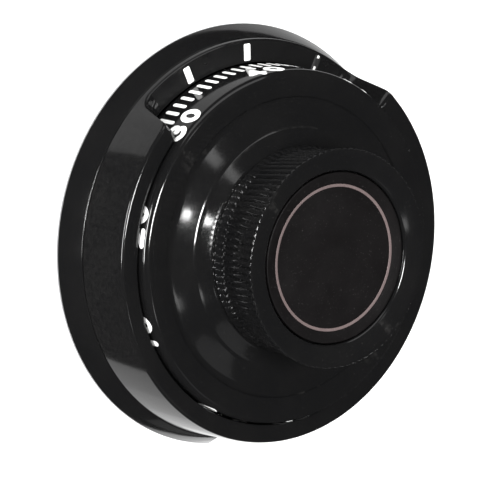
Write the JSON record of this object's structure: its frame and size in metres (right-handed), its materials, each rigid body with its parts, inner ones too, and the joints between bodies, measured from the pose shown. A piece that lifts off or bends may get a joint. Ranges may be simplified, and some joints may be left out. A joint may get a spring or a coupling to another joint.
{
  "type": "enlarger timer",
  "caption": "Round black darkroom enlarger timer: conical foot ring, collar with a scale window, rotating scale drum, knurled knob and central start button.",
  "frame": {"origin": "centre of the rubber feet's footprint, on the dial's axis, at the surface the timer rests on", "axes": "+Z along the dial's axis towards the knob, +Y towards 12 o'clock and the middle of the scale window, +X towards 3 o'clock"},
  "size_m": [0.15, 0.149, 0.0618],
  "materials": {
    "black_moulding": "polished moulding",
    "black_cover": "fine matt",
    "satin_cap": "satin",
    "ring_metal": "fine turned",
    "white_enamel": "white enamel",
    "rubber": "matt",
    "brass": "brushed",
    "steel": "turned",
    "phenolic": "phenolic board"
  },
  "bodies": {
    "housing": {"base_ring": "black_moulding", "housing_shell": "black_moulding", "index_mark_left": "white_enamel", "index_mark_centre": "white_enamel", "index_mark_right": "white_enamel", "back_cover": "black_cover", "cover_screw_1": "steel", "cover_screw_2": "steel", "cover_screw_3": "steel", "cover_screw_4": "steel", "foot_1": "rubber", "foot_2": "rubber", "foot_3": "rubber", "foot_4": "rubber", "cable_gland_mains": "rubber", "cable_gland_lamp": "rubber", "terminal_block": "phenolic", "spindle_bush": "brass", "movement_rear_plate": "brass", "movement_front_plate": "brass", "pillar_1": "brass", "pillar_2": "brass", "pillar_3": "brass", "pillar_4": "brass", "plate_screw_1": "steel", "plate_screw_2": "steel", "plate_screw_3": "steel", "plate_screw_4": "steel", "mainspring": "steel", "hairspring": "steel", "lever_bracket": "steel", "lever_pin": "steel", "start_switch": "phenolic", "zero_switch": "phenolic"},
    "dial": {"dial_drum": "black_moulding", "knob": "black_moulding", "knob_nut": "brass", "spindle": "steel", "spindle_clip": "steel", "main_wheel": "brass", "zero_cam": "phenolic", "return_spring": "steel"},
    "start_button": {"button_cap": "satin_cap", "cap_ring": "ring_metal", "push_rod": "steel"},
    "second_train": {"second_arbor": "steel", "second_wheel": "brass"},
    "escape_train": {"escape_arbor": "steel", "escape_wheel": "brass"},
    "pallet": {"pallet": "steel"},
    "balance": {"balance_wheel": "brass", "balance_staff": "steel"},
    "switch_lever": {"switch_lever": "steel"},
    "switch_plunger": {"switch_plunger": "white_enamel"}
  },
  "joints": [
    {"name": "dial_turn", "type": "hinge", "parent": "housing", "child": "dial", "pos_m": [0, 0, 0.03], "axis": [0, 0, 1], "range_deg": [-148.5, 200.5]},
    {"name": "button_press", "type": "slide", "parent": "dial", "child": "start_button", "axis": [0, 0, -1], "range_m": [0, 0.0025], "stiffness_N_per_m": 300, "springref_m": -0.004, "deforming": ["return_spring"]},
    {"name": "second_turn", "type": "hinge", "parent": "housing", "child": "second_train", "pos_m": [0.02892, 0, 0.024], "axis": [0, 0, 1], "range_deg": [-1004, 744]},
    {"name": "escape_turn", "type": "hinge", "parent": "housing", "child": "escape_train", "pos_m": [0.0263, 0.01487, 0.024], "axis": [0, 0, 1], "range_deg": [-2972, 4012]},
    {"name": "pallet_rock", "type": "hinge", "parent": "housing", "child": "pallet", "pos_m": [0.01826, 0.02445, 0.026], "axis": [0, 0, 1], "range_deg": [-4, 4]},
    {"name": "balance_swing", "type": "hinge", "parent": "housing", "child": "balance", "pos_m": [0.00539, 0.02626, 0.0277], "axis": [0, 0, 1], "range_deg": [-110, 110], "stiffness_Nm_per_rad": 0.0002},
    {"name": "lever_tilt", "type": "hinge", "parent": "housing", "child": "switch_lever", "pos_m": [-0.02, 0, 0.011], "axis": [0, 1, 0], "range_deg": [0, 6.9]},
    {"name": "plunger_press", "type": "slide", "parent": "housing", "child": "switch_plunger", "axis": [0, 0, -1], "range_m": [0, 0.00086]}
  ],
  "couplings": [
    {"joint": "second_turn", "follows": "dial_turn", "ratio": -5},
    {"joint": "escape_turn", "follows": "dial_turn", "ratio": 20},
    {"joint": "lever_tilt", "follows": "button_press", "rad_per_m": 48},
    {"joint": "plunger_press", "follows": "button_press", "ratio": 0.34}
  ]
}
